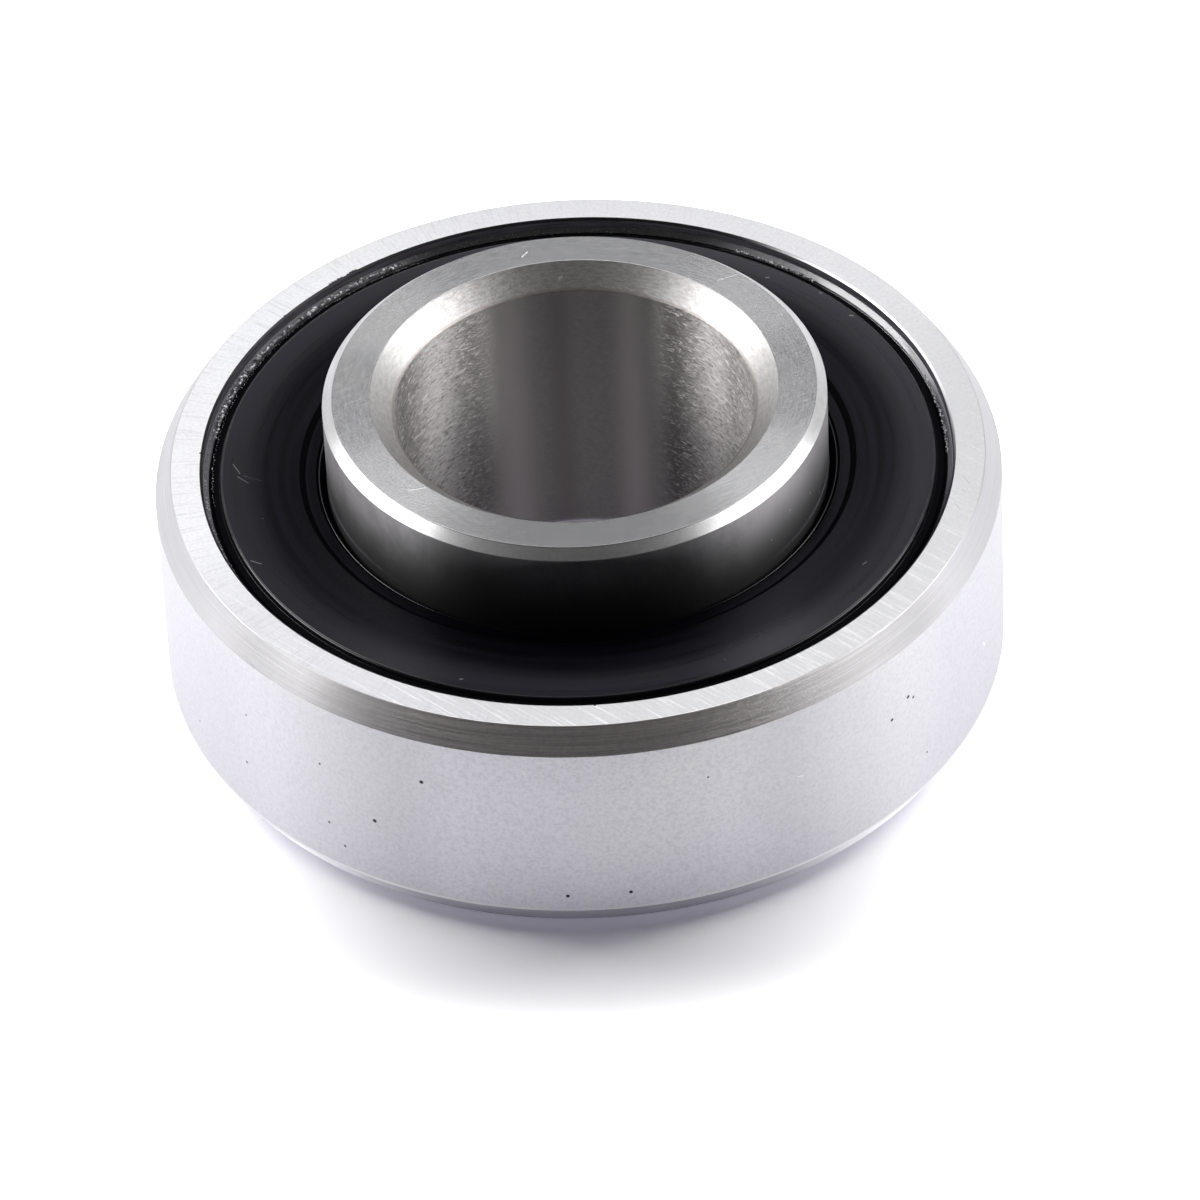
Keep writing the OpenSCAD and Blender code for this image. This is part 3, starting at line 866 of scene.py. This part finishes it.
def new_tree(name, inputs):
    """A geometry tree with named inputs and one geometry in and out"""
    tree = bpy.data.node_groups.new(name, "GeometryNodeTree")
    tree.interface.new_socket("Geometry", in_out="INPUT", socket_type="NodeSocketGeometry")
    for label, kind in inputs:
        tree.interface.new_socket(label, in_out="INPUT", socket_type="NodeSocket" + kind)
    tree.interface.new_socket("Geometry", in_out="OUTPUT", socket_type="NodeSocketGeometry")
    return tree, tree.nodes.new("NodeGroupInput"), tree.nodes.new("NodeGroupOutput")


def chain(tree, geometry, *steps):
    """Links nodes one after another by their first geometry sockets"""
    for step in steps:
        socket = next(s for s in step.inputs if s.type == "GEOMETRY")
        tree.links.new(geometry, socket)
        geometry = next((s for s in step.outputs if s.type == "GEOMETRY"), None)
    return geometry


def turned_tree():
    """Turns a closed section about the axis: the section is swept along a circle of the given radius"""
    tree, given, made = new_tree("turned_section", [("Segments", "Int"), ("Path radius", "Float"),
                                                    ("Material", "Material")])
    add = tree.nodes.new
    section = add("GeometryNodeMeshToCurve")
    path = add("GeometryNodeCurvePrimitiveCircle")
    sweep = add("GeometryNodeCurveToMesh")
    outward = add("GeometryNodeFlipFaces")
    smooth = add("GeometryNodeSetShadeSmooth")
    real = add("GeometryNodeRealizeInstances")
    paint = add("GeometryNodeSetMaterial")
    tree.links.new(given.outputs["Segments"], path.inputs["Resolution"])
    tree.links.new(given.outputs["Path radius"], path.inputs["Radius"])
    tree.links.new(given.outputs["Material"], paint.inputs["Material"])
    chain(tree, given.outputs["Geometry"], section)
    tree.links.new(path.outputs[0], sweep.inputs["Curve"])
    tree.links.new(section.outputs[0], sweep.inputs["Profile Curve"])
    chain(tree, sweep.outputs[0], outward, smooth, real, paint, made)
    return tree


def grown(name, base, tree, **inputs):
    """A plain mesh object from a base mesh and a geometry tree's result"""
    source = bpy.data.objects.new(name + "_base", base)
    bpy.context.scene.collection.objects.link(source)
    modifier = source.modifiers.new("tree", "NODES")
    modifier.node_group = tree
    for item in tree.interface.items_tree:
        label = item.name.lower().replace(" ", "_")
        if item.item_type == "SOCKET" and item.in_out == "INPUT" and label in inputs:
            modifier[item.identifier] = inputs[label]
    seen = source.evaluated_get(bpy.context.evaluated_depsgraph_get())
    mesh = bpy.data.meshes.new_from_object(seen)
    mesh.name = name
    source.modifiers.clear()
    bpy.data.objects.remove(source)
    piece = bpy.data.objects.new(name, mesh)
    bpy.context.scene.collection.objects.link(piece)
    return piece


def turned(name, section, finishes, choose):
    """A turned piece: the section's points swept round the axis, with each face's finish chosen by its place"""
    path_r = 10.0
    base = bpy.data.meshes.new(name + "_section")
    points = [((point.x - path_r) * MM, -point.y * MM, 0) for point in section]
    base.from_pydata(points, [(i, (i + 1) % len(points)) for i in range(len(points))], [])
    piece = grown(name, base, TURNED, segments=turn_segments, path_radius=path_r * MM, material=finishes[0])
    mesh = piece.data
    for finish in finishes[1:]:
        mesh.materials.append(finish)
    for face in mesh.polygons:
        centre = face.center / MM
        face.material_index = choose(math.hypot(centre.x, centre.y), centre.z)
    return piece


def outer_zone(r, z):
    """Outside, corner, face, recess, ball groove, the recess's edge or the lower corner"""
    off_middle = abs(z - mid_z)
    if r > outer_r - rim_chamfer_r - sharp_round:
        if off_middle < mid_z - rim_chamfer_z:
            return 0
        return 1 if z > mid_z else 6
    if off_middle > mid_z - sharp_round and r > recess_r + recess_edge + sharp_round:
        return 2
    if off_middle > mid_z - recess_edge - sharp_round:
        return 5
    return 3 if off_middle > mid_z - seat_depth - sharp_round else 4


def inner_zone(r, z):
    """Land, corners, end faces, lead-ins, bore or ball groove"""
    if r < bore_r + sharp_round and foot_lead < z < nose_z - nose_lead_z:
        return 4
    if r < bore_r + nose_lead_r - sharp_round and (z > nose_z - nose_lead_z or z < foot_lead):
        return 3
    if z > nose_z - sharp_round or z < sharp_round:
        return 2
    if z > nose_z - nose_edge_z or z < foot_edge:
        return 1
    return 5 if abs(z - mid_z) < race_r and r < inner_land_r - sharp_round else 0


def seal_zone(r, z):
    """Face, dull hollows, shiny moulded edges or bead"""
    if r > trench_r - sharp_round:
        return 3
    if r > shoulder_r + shoulder_lean + sharp_round or lip_floor_r - sharp_round < r < lip_zone_r + sharp_round:
        return 1
    if crease_r - crease_w + sharp_round < r < crease_r + sharp_round:
        return 1
    if r > shoulder_r - shoulder_round or crease_r - crease_w - crest_round * 2 < r < crease_r:
        return 2
    return 0


def crumb_tree():
    """Scatters small lumps of rubber flash along curves: count, seed, how far they stray and their sizes are inputs"""
    tree, given, made = new_tree("rubber_crumbs", [("Count", "Int"), ("Seed", "Int"), ("Jitter", "Float"),
                                                   ("Smallest", "Float"), ("Largest", "Float"), ("Material", "Material")])
    add = tree.nodes.new
    link = tree.links.new

    def chance(kind, low, high, shift):
        """A random value of its own stream for each point"""
        value = add("FunctionNodeRandomValue")
        value.data_type = kind
        stream = add("ShaderNodeMath")
        link(given.outputs["Seed"], stream.inputs[0])
        stream.inputs[1].default_value = shift
        link(stream.outputs[0], next(s for s in value.inputs if s.name == "Seed" and s.enabled))
        lows = next(s for s in value.inputs if s.name == "Min" and s.enabled)
        highs = next(s for s in value.inputs if s.name == "Max" and s.enabled)
        for socket, end in ((lows, low), (highs, high)):
            if isinstance(end, bpy.types.NodeSocket):
                link(end, socket)
            else:
                socket.default_value = end
        return next(s for s in value.outputs if s.enabled)

    curve = add("GeometryNodeMeshToCurve")
    points = add("GeometryNodeCurveToPoints")
    points.mode = "COUNT"
    link(given.outputs["Count"], points.inputs["Count"])
    stray = add("ShaderNodeVectorMath")
    stray.operation = "SCALE"
    link(chance("FLOAT_VECTOR", (-1.0, -1.0, -0.4), (1.0, 1.0, 0.4), 1), stray.inputs[0])
    link(given.outputs["Jitter"], stray.inputs["Scale"])
    move = add("GeometryNodeSetPosition")
    link(stray.outputs[0], move.inputs["Offset"])
    lump = add("GeometryNodeMeshIcoSphere")
    lump.inputs["Radius"].default_value = 1.0
    lump.inputs["Subdivisions"].default_value = 1
    place = add("GeometryNodeInstanceOnPoints")
    link(chance("FLOAT_VECTOR", (0.0, 0.0, 0.0), (6.28, 6.28, 6.28), 2), place.inputs["Rotation"])
    stretch = add("ShaderNodeVectorMath")
    stretch.operation = "SCALE"
    link(chance("FLOAT_VECTOR", (0.5, 0.5, 0.5), (1.6, 1.0, 1.0), 3), stretch.inputs[0])
    link(chance("FLOAT", given.outputs["Smallest"], given.outputs["Largest"], 4), stretch.inputs["Scale"])
    link(stretch.outputs[0], place.inputs["Scale"])
    real = add("GeometryNodeRealizeInstances")
    paint = add("GeometryNodeSetMaterial")
    link(given.outputs["Material"], paint.inputs["Material"])
    spread = chain(tree, given.outputs["Geometry"], curve, points, move)
    link(spread, place.inputs["Points"])
    link(lump.outputs[0], place.inputs["Instance"])
    chain(tree, place.outputs[0], real, paint, made)
    return tree


TURNED = turned_tree()
CRUMBS = crumb_tree()

# Where the bead's flash is torn: two turns, a radius and a height below the ring's face, and the lumps' sizes
FLASH_ROWS = [
    ("upper_bead_flash", 11, 170, 0.07, 0.03, 0.12, [(-153, -100, 17.43, 0.47)]),
    ("upper_bead_scuff", 5, 190, 0.05, 0.015, 0.045, [(-122, -66, 17.58, 0.46)]),
    ("upper_bead_grit", 23, 150, 0.04, 0.02, 0.04, [(-156, -84, 17.26, 0.60)]),
    ("upper_bead_tear", 37, 110, 0.06, 0.025, 0.06, [(137, 152, 17.34, 0.55), (88, 107, 17.42, 0.52)]),
]


def make_rings():
    """The two rings, turned from their sections"""
    outer = turned("outer_ring_turned", outer_ring_section(),
                   [ground_outside(), turned_corner(), ground_face(), recess_turning(), ball_groove(),
                    recess_corner(), lower_corner()], outer_zone)
    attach(outer, "outer")
    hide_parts("outer_ring")
    inner = turned("inner_ring_turned", inner_ring_section(),
                   [nose_land(), nose_corner(), nose_face(), nose_lead(), honed_bore(), ball_groove()], inner_zone)
    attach(inner, "inner")
    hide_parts("inner_ring")


def make_seals():
    """The two moulded seals, the lower one turned over"""
    looks = [moulded_rubber(), hollow_rubber(), edge_rubber(), bead_rubber()]
    section = seal_section()
    for side, outline in (("upper", section), ("lower", mirrored(section))):
        seal = turned(side + "_seal_moulded", outline, looks, seal_zone)
        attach(seal, "outer")
        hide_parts(side + "_seal")


def flash_rubber():
    """Torn rubber flash, with pale patches that are painted highlights"""
    finish = Finish("flash_rubber", 0.0, 0.3)
    finish.shader.inputs["Specular IOR Level"].default_value = 1.0
    glint_patches = finish.noise(finish.place, scale=5.0, detail=2.0)
    # Painted highlights: pale patches on the dark flash
    finish.colour(finish.mix(finish.ramp(glint_patches, 0.42, 0.60), (0.16, 0.16, 0.17), (0.95, 0.95, 0.97)))
    finish.bump(glint_patches, 0.02)
    return finish.material


def make_flash():
    """The flash left along the upper seal's bead, in the places where the photograph shows it"""
    look = flash_rubber()
    for name, seed, count, jitter, smallest, largest, rows in FLASH_ROWS:
        points = []
        edges = []
        for start, end, radius, depth in rows:
            for turn in range(start, end + 1):
                if turn > start:
                    edges.append((len(points) - 1, len(points)))
                points.append(Vector(round_point(turn, radius, ring_w - depth)) * MM)
        base = bpy.data.meshes.new(name + "_rows")
        base.from_pydata(points, edges, [])
        flash = grown(name, base, CRUMBS, count=count, seed=seed, jitter=jitter * MM, smallest=smallest * MM,
                      largest=largest * MM, material=look)
        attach(flash, "outer")


def paint_inner_pieces():
    """Finishes for the balls, the cage and the rivets, which stay as they are"""
    looks = {"ball": ball_steel(), "cage": pressed_strip(), "rivet": rivet_wire()}
    for name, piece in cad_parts.items():
        for word, look in looks.items():
            if word in name:
                piece.data.materials.clear()
                piece.data.materials.append(look)


def set_floor():
    """A plain pale floor that ends just before the picture's lower edge.
    The camera, glossy and clear rays see it near white, and it keeps the bearing's shadow."""
    reach = 2.0
    near = 0.045
    drop = -0.00001
    mesh = bpy.data.meshes.new("floor")
    corners = [(-reach, -near, drop), (reach, -near, drop), (reach, reach, drop), (-reach, reach, drop)]
    mesh.from_pydata(corners, [], [(0, 1, 2, 3)])
    floor = bpy.data.objects.new("floor", mesh)
    bpy.context.scene.collection.objects.link(floor)
    material = bpy.data.materials.new("floor")
    material.use_nodes = True
    tree = material.node_tree
    tree.nodes.clear()
    add = tree.nodes.new
    output = add("ShaderNodeOutputMaterial")
    paths = add("ShaderNodeLightPath")
    plain = add("ShaderNodeBsdfDiffuse")
    plain.inputs["Color"].default_value = (0.8, 0.8, 0.8, 1)
    seen = add("ShaderNodeBsdfDiffuse")
    seen.inputs["Color"].default_value = (0.95, 0.95, 0.95, 1)
    more = add("ShaderNodeBsdfDiffuse")
    more.inputs["Color"].default_value = (0.86, 0.86, 0.86, 1)
    extra = add("ShaderNodeMixShader")
    glow = add("ShaderNodeEmission")
    glow.inputs["Color"].default_value = (0.82, 0.79, 1.0, 1)
    power = add("ShaderNodeMath")
    power.operation = "MULTIPLY_ADD"
    power.inputs[1].default_value = 0.09
    power.inputs[2].default_value = 0.085
    pair = add("ShaderNodeAddShader")
    both = add("ShaderNodeAddShader")
    either = add("ShaderNodeMath")
    either.operation = "MAXIMUM"
    any_of = add("ShaderNodeMath")
    any_of.operation = "MAXIMUM"
    swap = add("ShaderNodeMixShader")
    link = tree.links.new
    link(paths.outputs["Is Camera Ray"], either.inputs[0])
    link(paths.outputs["Is Glossy Ray"], either.inputs[1])
    link(paths.outputs["Is Glossy Ray"], power.inputs[0])
    link(power.outputs[0], glow.inputs["Strength"])
    link(either.outputs[0], any_of.inputs[0])
    link(paths.outputs["Is Transmission Ray"], any_of.inputs[1])
    link(paths.outputs["Is Camera Ray"], extra.inputs[0])
    link(more.outputs[0], extra.inputs[2])
    link(seen.outputs[0], pair.inputs[0])
    link(extra.outputs[0], pair.inputs[1])
    link(pair.outputs[0], both.inputs[0])
    link(glow.outputs[0], both.inputs[1])
    link(any_of.outputs[0], swap.inputs[0])
    link(plain.outputs[0], swap.inputs[1])
    link(both.outputs[0], swap.inputs[2])
    place = add("ShaderNodeTexCoord").outputs["Object"]
    away = add("ShaderNodeVectorMath")
    away.operation = "LENGTH"
    link(place, away.inputs[0])
    far = add("ShaderNodeMapRange")
    far.interpolation_type = "SMOOTHSTEP"
    far.inputs["From Min"].default_value = 0.08
    far.inputs["From Max"].default_value = 0.16
    link(away.outputs["Value"], far.inputs["Value"])
    far_seen = add("ShaderNodeMath")
    far_seen.operation = "MULTIPLY"
    link(far.outputs["Result"], far_seen.inputs[0])
    link(paths.outputs["Is Camera Ray"], far_seen.inputs[1])
    white = add("ShaderNodeEmission")
    white.inputs["Color"].default_value = (1, 1, 1, 1)
    fade = add("ShaderNodeMixShader")
    link(far_seen.outputs[0], fade.inputs[0])
    link(swap.outputs[0], fade.inputs[1])
    link(white.outputs[0], fade.inputs[2])
    link(fade.outputs[0], output.inputs["Surface"])
    mesh.materials.append(material)


def set_world():
    """A studio round the bearing: white to the camera, and to reflections white low down, grey above, dark in front.
    It shows in gloss only, and the lamps alone light rough surfaces."""
    world = bpy.data.worlds.new("studio")
    world.cycles_visibility.diffuse = False
    bpy.context.scene.world = world
    world.use_nodes = True
    tree = world.node_tree
    tree.nodes.clear()
    add = tree.nodes.new
    link = tree.links.new

    def ramp(value, low, high, start, end):
        made = add("ShaderNodeMapRange")
        made.interpolation_type = "SMOOTHSTEP"
        link(value, made.inputs[0])
        for socket, given in zip(list(made.inputs)[1:5], (low, high, start, end)):
            socket.default_value = given
        return made.outputs[0]

    def combine(operation, first, second):
        made = add("ShaderNodeMath")
        made.operation = operation
        for socket, given in zip(made.inputs, (first, second)):
            if isinstance(given, bpy.types.NodeSocket):
                link(given, socket)
            else:
                socket.default_value = given
        return made.outputs[0]

    direction = add("ShaderNodeTexCoord").outputs["Generated"]
    axes = add("ShaderNodeSeparateXYZ")
    link(direction, axes.inputs[0])
    side, ahead, rise = axes.outputs
    wall = ramp(rise, 0.2, 0.5, 0.9, 0.45)
    roof = ramp(rise, 0.7, 0.95, 1.0, 0.4)
    shade = ramp(rise, 0.15, 0.42, 1.0, 0.81)
    front = combine("MULTIPLY", ramp(ahead, -0.65, -0.3, 1.0, 0.0), shade)
    studio = combine("MULTIPLY", combine("MULTIPLY", wall, roof), combine("SUBTRACT", 1.0, front))
    paths = add("ShaderNodeLightPath")
    background = add("ShaderNodeBackground")
    white = combine("MAXIMUM", paths.outputs["Is Camera Ray"], studio)
    link(white, background.inputs["Strength"])
    background.inputs["Color"].default_value = (1, 1, 1, 1)
    output = add("ShaderNodeOutputWorld")
    link(background.outputs[0], output.inputs["Surface"])


def add_softbox(name, turn, rise, width, height, radiance, diffuse=True, gloss=True):
    """A soft lamp that faces the middle of the bearing, at a turn from the front and a rise in degrees.
    Its power follows from its size and its radiance. It may light only the floor, or only show in gloss."""
    away = 0.55
    data = bpy.data.lights.new(name, "AREA")
    data.shape = "RECTANGLE"
    data.size = width
    data.size_y = height
    data.energy = radiance * math.pi * width * height
    lamp = bpy.data.objects.new(name, data)
    lamp.visible_diffuse = diffuse
    lamp.visible_glossy = gloss
    bpy.context.scene.collection.objects.link(lamp)
    side = math.radians(turn)
    up = math.radians(rise)
    place = Vector((math.sin(side) * math.cos(up), -math.cos(side) * math.cos(up), math.sin(up))) * away
    lamp.matrix_world = Matrix.Translation(place) @ (-place).to_track_quat("-Z", "Y").to_matrix().to_4x4()


def set_lamps():
    """A gloss card at each side, and soft lamps behind: one high up in the middle, one at each side"""
    add_softbox("left_card", -98, 32, 0.50, 0.17, 6.0, diffuse=False)
    add_softbox("right_card", 87, 32, 0.50, 0.17, 6.0, diffuse=False)
    add_softbox("back_softbox", 180, 58, 0.36, 0.20, 3.6)
    add_softbox("back_left_softbox", -130, 45, 0.36, 0.24, 7.0, gloss=False)
    add_softbox("back_right_softbox", 130, 45, 0.36, 0.24, 7.0, gloss=False)


make_rings()
make_seals()
make_flash()
paint_inner_pieces()
set_floor()
set_world()
set_lamps()
bpy.context.scene.view_settings.view_transform = "Standard"
